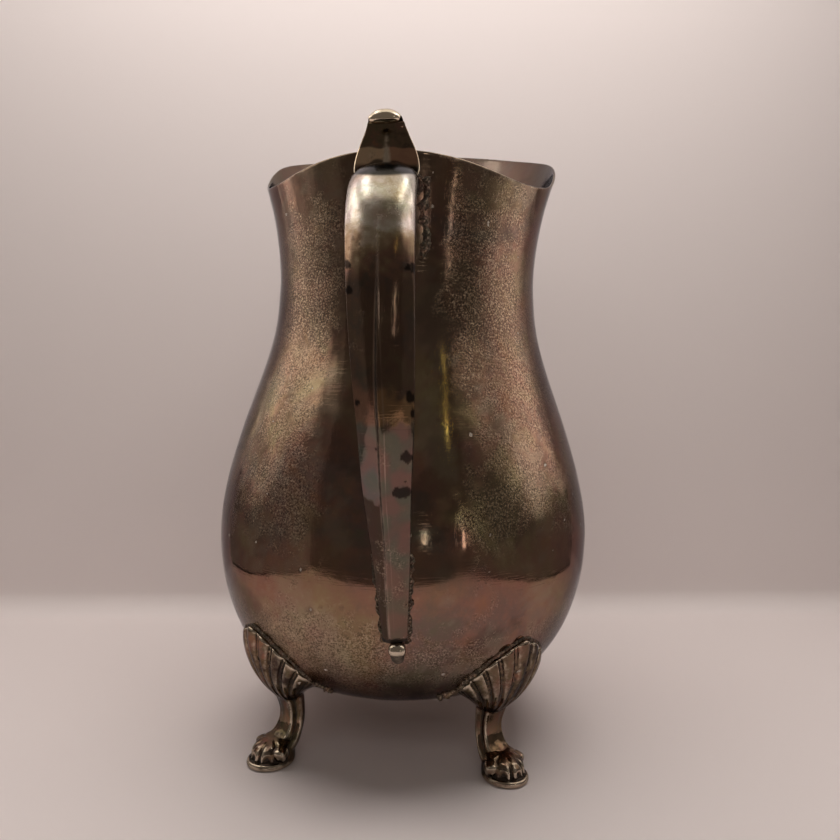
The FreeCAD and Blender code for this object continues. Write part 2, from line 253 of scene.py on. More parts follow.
def make_vessel(finish):
    """The drawn sheet as one closed skin: the outline turned about the axis, then the lip, whose radius
    grows with the square of the height to the rim, over the rounded edge, and back down inside at the
    wall's thickness. Slow waves a tenth of a millimetre deep stand for hand planishing."""
    angle = round_angles(252)
    body = PROFILE[1::2]
    slope = directions(body)
    r, z = body[:, :1] + 0 * angle, body[:, 1:] + 0 * angle
    nr, nz = slope[:, 1:] + 0 * angle, -slope[:, :1] + 0 * angle
    reach, top = rim(angle)
    share = np.linspace(0, 1, 72)[1:, None]
    lip_z = NECK_Z + (top - NECK_Z) * share
    lip_r = NECK_R + (reach - NECK_R) * share**2
    lean = 2 * (reach - NECK_R) * share / (top - NECK_Z)
    size = np.sqrt(1 + lean**2)
    r, z = np.concatenate([r, lip_r]), np.concatenate([z, lip_z])
    nr, nz = np.concatenate([nr, 1 / size]), np.concatenate([nz, -lean / size])
    wave = 0.11 * ripple(r * np.sin(angle), r * np.cos(angle), z, 46.0, 3)
    wave += 0.035 * ripple(r * np.sin(angle), r * np.cos(angle), z, 15.0, 4)
    wave *= np.clip((z - 24) / 20, 0, 1)
    outer_r, outer_z = r + wave * nr, z + wave * nz
    inner_r, inner_z = outer_r - WALL * nr, outer_z - WALL * nz
    edge = np.radians(np.array([25.0, 60.0, 90.0, 120.0, 155.0]))[:, None]
    mid_r, mid_z = (outer_r[-1] + inner_r[-1]) / 2, (outer_z[-1] + inner_z[-1]) / 2
    out_r, out_z = outer_r[-1] - mid_r, outer_z[-1] - mid_z
    bulge = 0.45 * WALL
    edge_r = mid_r + out_r * np.cos(edge) + bulge * np.sin(edge) * (-out_z / (WALL / 2))
    edge_z = mid_z + out_z * np.cos(edge) + bulge * np.sin(edge) * (out_r / (WALL / 2))
    all_r = np.concatenate([outer_r, edge_r, inner_r[::-1]])
    all_z = np.concatenate([outer_z, edge_z, inner_z[::-1]])
    around = angle + 0 * all_r
    grid = np.stack([-all_r * np.sin(around), all_r * np.cos(around), all_z], -1)
    return make_piece("vessel_skin", [closed_skin(grid)], finish, "vessel")


# ---------------------------------------------------------------- handle

def handle_line(count):
    """Stations down the handle's seam at even steps of chord length, and the seam's direction at each."""
    chords = np.concatenate([[0], np.cumsum(np.linalg.norm(np.diff(HANDLE[:, :2], axis=0), axis=1))])
    at = chords[-1] * np.linspace(0, 1, count)
    st = curve_through(chords, HANDLE, at)
    step = curve_through(chords, HANDLE, at + 0.05) - curve_through(chords, HANDLE, at - 0.05)
    tangent = step[:, :2] / np.linalg.norm(step[:, :2], axis=1)[:, None]
    return st, tangent


def place_sections(st, tangent, x, n):
    """Section points (stations, around) with x across and n outward from the seam, put in space."""
    back = st[:, 0][:, None] - tangent[:, 1][:, None] * n
    height = st[:, 1][:, None] + tangent[:, 0][:, None] * n
    return np.stack([x, -back, height], -1)


def make_handle_outer(finish):
    """Outer pressed half: across each station a crown that is round near the root and turns, further down,
    to two flanks that meet in a thin keel off the middle, with a short upright wall at each side and a flat
    underside at the seam."""
    count, over, under = 300, 97, 12
    st, tangent = handle_line(count)
    place = np.linspace(0, 1, count)[:, None]
    half, depth = st[:, 2:3] / 2, st[:, 3:4]
    q = np.sin(np.linspace(-math.pi / 2, math.pi / 2, over))[None, :]
    keel = ramp_up(place, 0.2, 0.42)
    crown = (1 - np.abs(q) ** 2.2) ** 0.56
    middle = keel_place(st[:, 1:2])
    t = np.where(q > middle, (q - middle) / (1 - middle), (middle - q) / (1 + middle))
    facets = (1 - t) * (1 + 0.62 * t) + 0.07 * bell(q - middle, 0.055)
    wall = 0.24 * np.clip((1 - np.abs(q)) / 0.02, 0, 1) ** 0.5
    rise = wall + 0.76 * ((1 - keel) * crown + keel * facets)
    x_top, n_top = half * q, depth * rise
    x_low = half * np.linspace(1, -1, under + 2)[None, 1:-1]
    n_low = 0 * x_low - 0.05
    x, n = np.concatenate([x_top, x_low], 1), np.concatenate([n_top, n_low], 1)
    p = place_sections(st, tangent, x, n)
    dent = 0.07 * ripple_at(p, 21.0, 7) + 0.02 * ripple_at(p, 6.0, 8)
    dent[:, over:] = 0
    p = place_sections(st, tangent, x, n + dent * np.clip(place * 8, 0, 1))
    return make_piece("handle_outer", [closed_skin(set_handle(p))], finish, "handle_outer_half")


def make_handle_inner(finish):
    """Inner pressed half: a shallow half-round back under a flat seam, a fifth of a millimetre in from the
    edge of the outer half, with a rough soldered joint along it."""
    count, over, under = 260, 12, 48
    st, tangent = handle_line(count)
    half, depth = st[:, 2:3] / 2 - 0.22, st[:, 4:5]
    x_top = half * np.linspace(-1, 1, over + 2)[None, 1:-1]
    q = np.sin(np.linspace(math.pi / 2, -math.pi / 2, under))[None, :]
    n_low = -depth * (0.34 * np.clip((1 - np.abs(q)) / 0.02, 0, 1) ** 0.5 + 0.66 * (1 - q * q) ** 0.5)
    x = np.concatenate([x_top, half * q], 1)
    n = np.concatenate([0 * x_top - 0.12, n_low - 0.12], 1)
    p = place_sections(st, tangent, x, n)
    rough = 0.16 * ripple_at(p, 5.0, 11)
    rough[:, :over] = 0
    p = place_sections(st, tangent, x * (1 + 0.018 * ripple_at(p, 6.0, 12)), n - rough)
    return make_piece("handle_inner", [closed_skin(set_handle(p))], finish, "handle_inner_half")


# leaf sections along its side line: y, height, half width, thickness
LEAF_SIDE = np.array([
    (-66.0, 213.5, 8.6, 3.0), (-65.8, 216.8, 9.3, 3.3), (-65.1, 219.6, 10.9, 3.4), (-64.4, 222.0, 11.2, 3.2),
    (-63.7, 224.6, 10.8, 2.9), (-62.9, 228.0, 9.8, 2.5), (-62.3, 232.6, 7.9, 2.1), (-62.4, 235.6, 6.7, 1.9),
    (-63.6, 238.0, 6.0, 1.8), (-65.8, 239.3, 5.7, 1.8), (-68.0, 238.9, 5.5, 1.8), (-69.1, 237.5, 5.3, 1.7),
    (-68.5, 236.3, 5.0, 1.4), (-67.2, 235.9, 4.2, 1.0),
])


def make_thumb_leaf(finish):
    """Cast leaf: lens-shaped sections with a low keel between two slightly sunk panels, carried up a side
    line that stands on the handle's root, leans and rolls over at the tip, whose crest falls away to both
    sides as the cube of the distance from the middle."""
    line = along(LEAF_SIDE, 130)
    step = directions(line[:, :2])
    around = round_angles(88)
    half, thick = line[:, 2:3], line[:, 3:4]
    q, face = np.cos(around), np.sin(around)
    place = np.linspace(0, 1, len(line))[:, None]
    low = np.clip(1.35 - 1.9 * place, 0, 1)
    keel = 0.30 * bell(q, 0.035) * low
    sunk = -0.85 * np.sin(math.pi * np.clip(np.abs(q), 0, 1)) * low
    n = thick * np.where(face > 0, face * 0.5, face * 0.6) + np.clip(face * 3, 0, 1) * (keel + sunk)
    x = half * np.sign(q) * np.abs(q) ** 0.85 + 0 * n
    y = line[:, 0:1] - step[:, 1:2] * n
    z = line[:, 1:2] + step[:, 0:1] * n
    crest = np.clip(z - 236.8, 0, None)
    z = z - crest * np.clip(0.55 * (np.abs(x) / 5.6) ** 3, 0, 0.7)
    y = y + (y + 63.5) * -0.30 * (np.abs(x) / 5.4) ** 2 * np.clip(crest / 4, 0, 1) * (y < -63.5)
    grid = set_handle(np.stack([-x, y, z], -1))
    return make_piece("thumb_leaf_cast", [closed_skin(grid)], finish, "thumb_leaf")


def make_tail_scroll(finish):
    """Cast end of the handle: a short round roll across the tail, thickest in its middle, and a small drop
    below it that tapers on to the belly."""
    across = np.linspace(-1, 1, 44)[:, None]
    around = round_angles(40)
    radius = 2.35 * (1 - np.abs(across) ** 6) ** 0.5 * (1 - 0.18 * across**2) + 0.05
    roll = np.stack([0.8 + 3.0 * across + 0 * around, -76.7 + radius * np.cos(around),
                     58.9 + radius * np.sin(around)], -1)
    down = np.linspace(0, 1, 30)[:, None]
    girth = 2.4 * (1 - down**4) ** 0.5 + 0.05
    drop = np.stack([0.7 + girth * np.cos(around), -75.6 + 2.4 * down - 0.8 * girth * np.sin(around),
                     58.4 - 5.6 * down + 0 * around], -1)
    skins = [closed_skin(set_handle(roll)), closed_skin(set_handle(drop[:, ::-1]))]
    return make_piece("tail_scroll_cast", skins, finish, "tail_scroll")


# ---------------------------------------------------------------- legs

LOBES = 9
# shank sections: distance out, height, half depth, half width
SHANK = np.array([
    (56.6, 30.0, 5.2, 6.6), (55.4, 25.5, 5.0, 6.0), (54.2, 20.5, 4.5, 5.3), (54.1, 15.5, 4.4, 5.1),
    (55.6, 11.2, 4.6, 5.6), (58.0, 8.0, 5.2, 6.4), (60.2, 5.4, 5.2, 6.6), (61.0, 3.4, 4.6, 6.0),
])


def knee_skin():
    """Scallop knee: for each ray of the fan a Bezier curve from the ankle up and out to the fan's edge on
    the belly, then over the edge, and back down behind. Lobes are round ridges across the rays with a fine
    fillet in each groove between them, and they end in a scalloped edge."""
    u = np.linspace(-1, 1, 361)[:, None]
    v = np.linspace(0, 1, 70)[None, :]
    q = (u * LOBES) - 2 * np.floor((u * LOBES + 1) / 2)
    lobe = np.clip(1 - (q / 0.84) ** 2, 0, 1) ** 0.5 + 0.42 * bell(np.abs(q) - 1, 0.07)
    start = np.stack([55.5 + 4.6 * np.cos(1.5 * u), 6.2 * np.sin(1.5 * u), 24.6 + 1.2 * u * u], -1)
    width = 18.6 * np.sin(math.pi / 2 * np.abs(u) ** 0.9) * np.sign(u)
    scallop = 0.9 * (lobe - 0.4)
    edge_z = 36.2 + 19.0 * (1 - np.abs(u) ** 1.25) ** 1.05 + scallop * (1 - 0.5 * np.abs(u))
    edge_y = width * (1 + 0.02 * scallop)
    belly = np.sqrt(round_radius(edge_z) ** 2 - edge_y**2)
    end = np.stack([belly + 1.9, edge_y, edge_z], -1)
    out = np.array([0.94, 0.0, -0.34])
    swell = (1 - 0.45 * u * u)[..., None]
    first = start + 0.33 * (end - start) + 5.4 * swell * out
    second = start + 0.76 * (end - start) + 4.0 * swell * out
    t = v[..., None]
    ray = (1 - t) ** 3 * start + 3 * t * (1 - t) ** 2 * first + 3 * t * t * (1 - t) * second + t**3 * end
    du, dv = np.gradient(ray, axis=0), np.gradient(ray, axis=1)
    normal = np.cross(du, dv)
    normal /= np.linalg.norm(normal, axis=2)[..., None] + 1e-12
    normal *= np.sign((normal * out).sum(2).mean())
    fade = 1 - np.clip((v - 0.93) / 0.07, 0, 1) ** 2 * 0.5
    depth = 1.45 * np.clip(v * 2.2, 0, 1) ** 0.7 * (1 - 0.25 * np.abs(u)) * fade
    face = ray + (lobe * depth - 0.75 * depth)[..., None] * normal
    last = face[:, -1]
    inward = np.stack([belly[:, 0] - 0.35, edge_y[:, 0] * 0.995, edge_z[:, 0] - 0.8], -1)
    s = np.array([0.3, 0.6, 0.85, 1.0])[None, :, None]
    over = last[:, None] + (inward - last)[:, None] * s + np.array([0, 0, 0.35]) * np.sin(math.pi * s)
    back_end = np.stack([52.4 + 0 * u[:, 0], 5.0 * np.sin(1.5 * u[:, 0]), 27.0 + 0 * u[:, 0]], -1)
    s = np.linspace(0, 1, 24)[None, 1:, None]
    back = inward[:, None] * (1 - s) + back_end[:, None] * s
    limit = np.sqrt(np.clip(round_radius(back[..., 2]) ** 2 - back[..., 1] ** 2, 0, None)) - 0.35
    below = np.clip((30.0 - back[..., 2]) / 3.0, 0, 1)
    back[..., 0] = limit * (1 - below) + np.minimum(limit, back[..., 0]) * below
    back[..., 0] = np.where(back[..., 2] < 30.5, np.maximum(back[..., 0], 51.0), back[..., 0])
    loop = np.concatenate([face, over, back], 1)
    return closed_skin(loop[:, ::-1])


def shank_skin():
    """Shank: sections carried down an S-shaped line, each an oval with a sunk panel in front between two
    rounded ridges, and a second pair of low ridges at its sides."""
    line = along(SHANK, 90)
    a = round_angles(96)
    w = (a + math.pi) % (2 * math.pi) - math.pi
    place = np.linspace(0, 1, len(line))[:, None]
    crisp = np.clip(place * 5, 0, 1) * np.clip((1 - place) * 2.4, 0, 1)
    ridge = 0.17 * bell(np.abs(w) - 0.82, 0.17) + 0.12 * bell(np.abs(w) - 1.72, 0.2)
    panel = -0.10 * bell(w, 0.5) - 0.13 * bell(np.abs(w) - 1.25, 0.16)
    shape = 1 + crisp * (ridge + panel)
    x = line[:, 0:1] + line[:, 2:3] * shape * np.cos(a)
    y = line[:, 3:4] * shape * np.sin(a)
    tilt = np.gradient(line[:, 0]) / np.gradient(line[:, 1])
    z = line[:, 1:2] - 0.35 * tilt[:, None] * (x - line[:, 0:1])
    grid = np.stack([x, y, np.maximum(z, 1.2)], -1)
    return closed_skin(grid[:, ::-1])


def toe_skin(turn, reach, girth):
    """Toe: round sections down a bent line that leaves the paw and swells to a blunt end on the pad."""
    a = math.radians(turn)
    side = np.array([
        (2.4, 6.6, 1.6), (4.4, 6.3, 2.2), (6.4, 5.9, 2.9), (8.2, 5.6, 3.25), (9.8, 5.1, 3.0),
        (10.9, 4.7, 1.9), (11.3, 4.5, 0.4),
    ])
    line = along(side, 60)
    around = round_angles(36)
    step = directions(line[:, :2])
    r = line[:, 2:3] * girth
    out = (line[:, 0:1] - step[:, 1:2] * r * np.sin(around)) * reach / 13.4
    up = line[:, 1:2] + step[:, 0:1] * r * np.sin(around)
    wide = 1.02 * r * np.cos(around)
    x = 56.4 + out * math.cos(a) - wide * math.sin(a)
    y = (2.0 + out) * math.sin(a) + wide * math.cos(a)
    return closed_skin(np.stack([x, y, np.maximum(up, 1.4)], -1)[:, ::-1])


def paw_skin():
    """Paw on the pad: a blunt superellipse dome, higher behind, its radius and height cut by a groove at
    each side of the middle toe and behind the outer toes, and sunk a little in the front of each toe."""
    t = np.linspace(0, math.pi / 2, 60)[:, None]
    a = round_angles(180)
    w = (a + math.pi) % (2 * math.pi) - math.pi
    groove = sum(bell(np.abs(w) - math.radians(c), 0.10) for c in (23.0, 74.0))
    toe = bell(w, 0.16) + bell(np.abs(w) - math.radians(48.0), 0.17)
    rise = np.sin(t) ** 0.62
    sunk = toe * bell(rise - 0.42, 0.2)
    size = np.cos(t) ** 0.42 * (1 - 0.18 * groove * np.cos(t) ** 0.8 - 0.12 * sunk)
    top = 9.5 * (1 - 0.13 * groove * np.cos(t))
    x = 63.0 + 8.9 * size * np.cos(a)
    y = 7.7 * size * np.sin(a)
    z = 1.6 + (top - 1.6) * rise + 0.30 * (64.0 - x) * rise
    base = np.stack([x[0], y[0], 0 * z[0] + 1.2], -1)[None]
    return closed_skin(np.concatenate([base, np.stack([x, y, z], -1)]))


def pad_skin():
    """Sole pad: an oval disc with a rolled edge and a raised rim round a slightly sunk top."""
    side = np.array([
        (0.02, 0.0), (0.5, 0.0), (0.86, 0.0), (0.955, 0.25), (1.0, 0.95), (0.995, 1.75), (0.95, 2.45),
        (0.89, 2.6), (0.83, 2.25), (0.6, 2.0), (0.02, 2.0),
    ])
    line = along(side * np.array([9.0, 1.0]), 70) / np.array([9.0, 1.0])
    a = round_angles(96)
    share = line[:, 0:1]
    x = 64.0 + 9.4 * share * np.cos(a)
    y = 8.4 * share * np.sin(a)
    z = np.clip(line[:, 1:2], 0, None) + 0 * a
    return closed_skin(np.stack([x, y, z], -1))


def make_legs(finish):
    """Four castings from one set of skins, turned to their places, each joined into one surface by a fine
    voxel remesh."""
    skins = [knee_skin(), shank_skin(), pad_skin(), paw_skin()]
    for turn, reach, girth in ((-36.0, 13.6, 0.95), (0.0, 15.6, 1.0), (36.0, 13.6, 0.95)):
        skins.append(toe_skin(turn, reach, girth))
    legs = []
    for name, turn in LEG_TURNS.items():
        placed = [(turned(p, turn), faces) for p, faces in skins]
        leg = make_piece("leg_cast_" + name, placed, finish, "leg_" + name, mark=False)
        join_skins(leg)
        mark_hollows(leg.data, 4, 0.5)
        legs.append(leg)
    return legs


def join_skins(piece):
    """Joins the skins of a piece into one by a voxel remesh, and evens the surface a little."""
    remesh = piece.modifiers.new("join", "REMESH")
    remesh.mode, remesh.voxel_size, remesh.use_smooth_shade = "VOXEL", 0.34 * MM, True
    even = piece.modifiers.new("even", "SMOOTH")
    even.factor, even.iterations = 0.5, 3
    made = bpy.data.meshes.new_from_object(piece.evaluated_get(bpy.context.evaluated_depsgraph_get()))
    piece.modifiers.clear()
    old, name = piece.data, piece.data.name
    for m in old.materials:
        if m.name not in made.materials:
            made.materials.append(m)
    piece.data = made
    bpy.data.meshes.remove(old)
    made.name = name
    made.polygons.foreach_set("use_smooth", np.ones(len(made.polygons), bool))


# ---------------------------------------------------------------- solder

def bead_skin(path, girth, seed, lump=0.35):
    """Solder bead: round sections along a path on the vessel, whose radius swells and shrinks unevenly and
    runs out at both ends as the root of the distance."""
    step = directions(path)
    out = path * np.array([1, 1, 0])
    out /= np.linalg.norm(out, axis=1)[:, None]
    side = np.cross(step, out)
    side /= np.linalg.norm(side, axis=1)[:, None]
    up = np.cross(side, step)
    a = np.linspace(0, 2 * math.pi, 36, endpoint=False)[None, :, None]
    swell = 1 + lump * ripple_at(path, 4.0, seed)[:, None, None]
    i = np.arange(len(path))
    ends = np.clip(np.minimum(i, i[::-1]) / 6.0, 0.05, 1)[:, None, None] ** 0.5
    arm = girth * swell * ends * (np.cos(a) * side[:, None] + 0.8 * np.sin(a) * up[:, None])
    rough = ripple_at(path[:, None] + arm, 1.5, seed + 3)[..., None] * 0.16 * lump / 0.35
    return closed_skin(path[:, None] + arm * np.clip(1 + rough, 0.4, 1.5))


def on_vessel(x, z, proud):
    """Points at the handle's side of the vessel, at x across and z up, standing proud of its surface."""
    r = outer_radius(z, np.pi + 0 * z) + proud
    return np.stack([x, -np.sqrt(r * r - x * x), z], -1)


def at_root(points):
    """Points on the neck turned to where the leaning, turned handle meets it."""
    return turned(points, HANDLE_TURN - 3.0)


def make_root_solder(finish):
    """Bead round the foot of the handle's root, and a rough run of solder down one side below it."""
    a = np.linspace(-2.75, 2.75, 360)
    x, z = 10.9 * np.sin(a), 217.8 + 5.9 * np.cos(a)
    ring = bead_skin(at_root(on_vessel(x, np.minimum(z, 223.5), 0.1)), 1.05, 21)
    b = np.linspace(0, 1, 260)
    run = bead_skin(at_root(on_vessel(12.1 + 0.8 * np.sin(11 * b), 221 - 29 * b, -0.35)), 1.45, 22, 0.42)
    return make_piece("root_solder_bead", [ring, run], finish, "handle_root_solder")


def make_tail_solder(finish):
    """Two lumpy beads down the sides of the tail where it lies on the belly."""
    skins = []
    for side, seed in ((-1, 31), (1, 32)):
        z = np.linspace(92, 60, 320)
        half = np.interp(z, HANDLE[::-1, 1], HANDLE[::-1, 2]) / 2
        x = side * (half - 0.1)
        r = round_radius(z) + 0.15
        path = np.stack([x, -np.sqrt(r * r - x * x), z], -1)
        a = math.radians(-HANDLE_LEAN)
        path[:, 0] += (z - LEAN_Z) * math.sin(a) + bend(z)
        skins.append(bead_skin(turned(path, HANDLE_TURN), 0.95, seed, 0.6))
    return make_piece("tail_solder_bead", skins, finish, "handle_tail_solder")


def make_leg_solder(name, turn, finish, seed):
    """Bead along the fan's edge on the belly, from one corner over the tip to the other, with a blot of
    solder at each corner."""
    u = np.linspace(-1, 1, 360)
    y = 18.9 * np.sin(math.pi / 2 * np.abs(u) ** 0.9) * np.sign(u)
    z = 36.6 + 19.0 * (1 - np.abs(u) ** 1.25) ** 1.05 + 0.5
    path = np.stack([np.sqrt((round_radius(z) + 0.1) ** 2 - y * y), y, z], -1)
    skins = [bead_skin(turned(path, turn), 0.85, seed, 0.4)]
    for side in (-1, 1):
        b = np.linspace(0, 1, 60)
        y = side * (18.0 + 5.5 * b)
        z = 35.6 - 1.6 * b + 0.8 * np.sin(5 * b)
        blot = np.stack([np.sqrt((round_radius(z) - 0.3) ** 2 - y * y), y, z], -1)
        skins.append(bead_skin(turned(blot, turn), 1.35, seed + 1 + side, 0.5))
    return make_piece("leg_bead_" + name, skins, finish, "leg_solder_" + name)


# ---------------------------------------------------------------- finishes

def add(tree, kind, inputs=None, **settings):
    """A shader node of that kind with its settings, its inputs set from numbers or linked from sockets."""
    made = tree.nodes.new("ShaderNode" + kind)
    for key, value in settings.items():
        setattr(made, key, value)
    for key, value in (inputs or {}).items():
        if isinstance(value, bpy.types.NodeSocket):
            tree.links.new(value, made.inputs[key])
        else:
            made.inputs[key].default_value = value
    return made


def maths(tree, operation, a, b, clamp=False):
    """One Math node's output."""
    return add(tree, "Math", {0: a, 1: b}, operation=operation, use_clamp=clamp).outputs[0]


def times(tree, a, b, clamp=False):
    """a multiplied by b."""
    return maths(tree, "MULTIPLY", a, b, clamp)


def plus(tree, a, b, clamp=False):
    """a and b added."""
    return maths(tree, "ADD", a, b, clamp)


def minus(tree, a, b, clamp=False):
    """a less b."""
    return maths(tree, "SUBTRACT", a, b, clamp)


def step_up(tree, value, low, high):
    """A smooth step of value, from 0 at low to 1 at high."""
    made = add(tree, "MapRange", {"Value": value, "From Min": low, "From Max": high},
               interpolation_type="SMOOTHSTEP")
    return made.outputs["Result"]


def blend(tree, share, a, b, kind="MIX"):
    """Colour a blended with colour b by share."""
    made = add(tree, "Mix", {0: share, 6: a, 7: b}, data_type="RGBA", blend_type=kind)
    return made.outputs[2]


def noise(tree, vector, scale, detail, rough, twist=0.0):
    """Fractal noise around a half."""
    made = add(tree, "TexNoise", {"Vector": vector, "Scale": scale, "Detail": detail,
                                            "Roughness": rough, "Distortion": twist})
    return made.outputs["Fac"]


def set_stops(ramp, stops):
    """Gives a colour ramp its places and colours."""
    elements = ramp.color_ramp.elements
    while len(elements) < len(stops):
        elements.new(0.5)
    for element, (place, colour) in zip(elements, stops):
        element.position = place
        element.color = (*colour, 1)


def new_material(name):
    """A material and its node tree."""
    m = bpy.data.materials.new(name)
    m.use_nodes = True
    return m, m.node_tree


def new_group(name, inputs, outputs):
    """An empty node group with named sockets; returns the group, its input node and its output node."""
    group = bpy.data.node_groups.new(name, "ShaderNodeTree")
    for socket, kind, default in inputs:
        made = group.interface.new_socket(socket, in_out="INPUT", socket_type=kind)
        if default is not None:
            made.default_value = default
    for socket, kind in outputs:
        group.interface.new_socket(socket, in_out="OUTPUT", socket_type=kind)
    return group, group.nodes.new("NodeGroupInput"), group.nodes.new("NodeGroupOutput")


def use(tree, group, inputs):
    """The group as a node of a material."""
    return add(tree, "Group", inputs, node_tree=group)


FLOAT, COLOUR, VECTOR = "NodeSocketFloat", "NodeSocketColor", "NodeSocketVector"


def tarnish_group():
    """Tarnish colours by film thickness: two sizes of cloudy noise move the thickness about Amount, and a
    ramp gives clean silver, straw, copper, plum, olive and black as the film grows."""
    g, i, o = new_group("tarnish", [("Vector", VECTOR, None), ("Patch Scale", FLOAT, 22.0),
                                    ("Amount", FLOAT, 0.5), ("Contrast", FLOAT, 1.6)],
                        [("Color", COLOUR), ("Film", FLOAT)])
    vector, scale = i.outputs["Vector"], i.outputs["Patch Scale"]
    wide = noise(g, vector, scale, 5.0, 0.62, 0.8)
    fine = noise(g, vector, times(g, scale, 4.7), 5.0, 0.7, 0.3)
    both = plus(g, times(g, wide, 0.68), times(g, fine, 0.32))
    film = plus(g, times(g, minus(g, both, 0.5), i.outputs["Contrast"]),
                 i.outputs["Amount"], clamp=True)
    ramp = add(g, "ValToRGB", {"Fac": film})
    set_stops(ramp, [
        (0.0, (0.66, 0.60, 0.53)), (0.16, (0.52, 0.44, 0.34)), (0.32, (0.36, 0.27, 0.17)),
        (0.46, (0.27, 0.185, 0.115)), (0.58, (0.25, 0.145, 0.10)), (0.70, (0.175, 0.125, 0.10)),
        (0.82, (0.15, 0.13, 0.09)), (1.0, (0.06, 0.05, 0.045)),
    ])
    g.links.new(ramp.outputs["Color"], o.inputs["Color"])
    g.links.new(film, o.inputs["Film"])
    return g


def speckle_group():
    """Fine grain: small sharp noise kept where a wider noise is above a level that falls with Cover. Light
    is the pale grains, Dark is the dark ones, and Height is their relief."""
    g, i, o = new_group("speckle", [("Vector", VECTOR, None), ("Grain Scale", FLOAT, 900.0),
                                    ("Cover", FLOAT, 0.5)],
                        [("Light", FLOAT), ("Dark", FLOAT), ("Height", FLOAT)])
    vector = i.outputs["Vector"]
    grain = noise(g, vector, i.outputs["Grain Scale"], 3.0, 0.66)
    cloud = noise(g, vector, times(g, i.outputs["Grain Scale"], 0.09), 5.0, 0.68, 0.6)
    level = minus(g, 0.74, times(g, i.outputs["Cover"], 0.48))
    kept = step_up(g, minus(g, cloud, level), -0.12, 0.12)
    light = times(g, step_up(g, grain, 0.46, 0.72), kept)
    dark = times(g, step_up(g, grain, 0.53, 0.32), kept)
    g.links.new(light, o.inputs["Light"])
    g.links.new(dark, o.inputs["Dark"])
    g.links.new(minus(g, light, dark), o.inputs["Height"])
    return g


def pit_group():
    """Scattered pits: round cells of a warped Voronoi pattern, of which the share Kept stay; Core is the
    middle and Ring the stain round it."""
    g, i, o = new_group("pits", [("Vector", VECTOR, None), ("Scale", FLOAT, 160.0), ("Kept", FLOAT, 0.3)],
                        [("Core", FLOAT), ("Ring", FLOAT)])
    warp = add(g, "TexNoise", {"Vector": i.outputs["Vector"], "Scale": 900.0, "Detail": 2.0})
    pushed = add(g, "VectorMath", {0: warp.outputs["Color"], 3: 0.0016}, operation="SCALE")
    moved = add(g, "VectorMath", {0: i.outputs["Vector"], 1: pushed.outputs[0]}, operation="ADD")
    cell = add(g, "TexVoronoi", {"Vector": moved.outputs[0], "Scale": i.outputs["Scale"],
                                           "Randomness": 1.0})
    pick = add(g, "SeparateColor", {0: cell.outputs["Color"]})
    chosen = step_up(g, minus(g, i.outputs["Kept"], pick.outputs[0]), -0.01, 0.02)
    size = plus(g, 0.06, times(g, pick.outputs[1], 0.16))
    near = maths(g, "DIVIDE", cell.outputs["Distance"], size)
    g.links.new(times(g, step_up(g, near, 1.0, 0.7), chosen), o.inputs["Core"])
    g.links.new(times(g, step_up(g, near, 2.4, 1.0), chosen), o.inputs["Ring"])
    return g


def crease_group():
    """Dirt in creases and wear on edges, from the attribute "hollow" broken up by noise."""
    g, i, o = new_group("crease_and_edge", [("Vector", VECTOR, None), ("Dirt", FLOAT, 1.0),
                                            ("Wear", FLOAT, 1.0)], [("Crease", FLOAT), ("Edge", FLOAT)])
    hollow = add(g, "Attribute", attribute_name="hollow").outputs["Fac"]
    broken = noise(g, i.outputs["Vector"], 420.0, 3.0, 0.6)
    shift = times(g, minus(g, broken, 0.5), 0.16)
    moved = plus(g, hollow, shift)
    crease = times(g, step_up(g, moved, 0.53, 0.66), i.outputs["Dirt"], clamp=True)
    edge = times(g, step_up(g, moved, 0.46, 0.34), i.outputs["Wear"], clamp=True)
    g.links.new(crease, o.inputs["Crease"])
    g.links.new(edge, o.inputs["Edge"])
    return g


def scratch_group():
    """Fine scratches from polishing: noise drawn out long along one axis and then along another."""
    g, i, o = new_group("scratches", [("Vector", VECTOR, None), ("Scale", FLOAT, 60.0)], [("Height", FLOAT)])
    total = None
    for stretch, turn in (((1, 1, 26), (0.3, 0.2, 0.5)), ((22, 1, 1.5), (0.1, 0.9, 0.2))):
        placed = add(g, "Mapping", {"Vector": i.outputs["Vector"], "Rotation": turn,
                                              "Scale": stretch})
        line = step_up(g, noise(g, placed.outputs[0], i.outputs["Scale"], 3.0, 0.7), 0.56, 0.64)
        total = line if total is None else plus(g, total, line)
    g.links.new(total, o.inputs["Height"])
    return g


TARNISH, SPECKLE, PITS, CREASES, SCRATCHES = (
    tarnish_group(), speckle_group(), pit_group(), crease_group(), scratch_group())


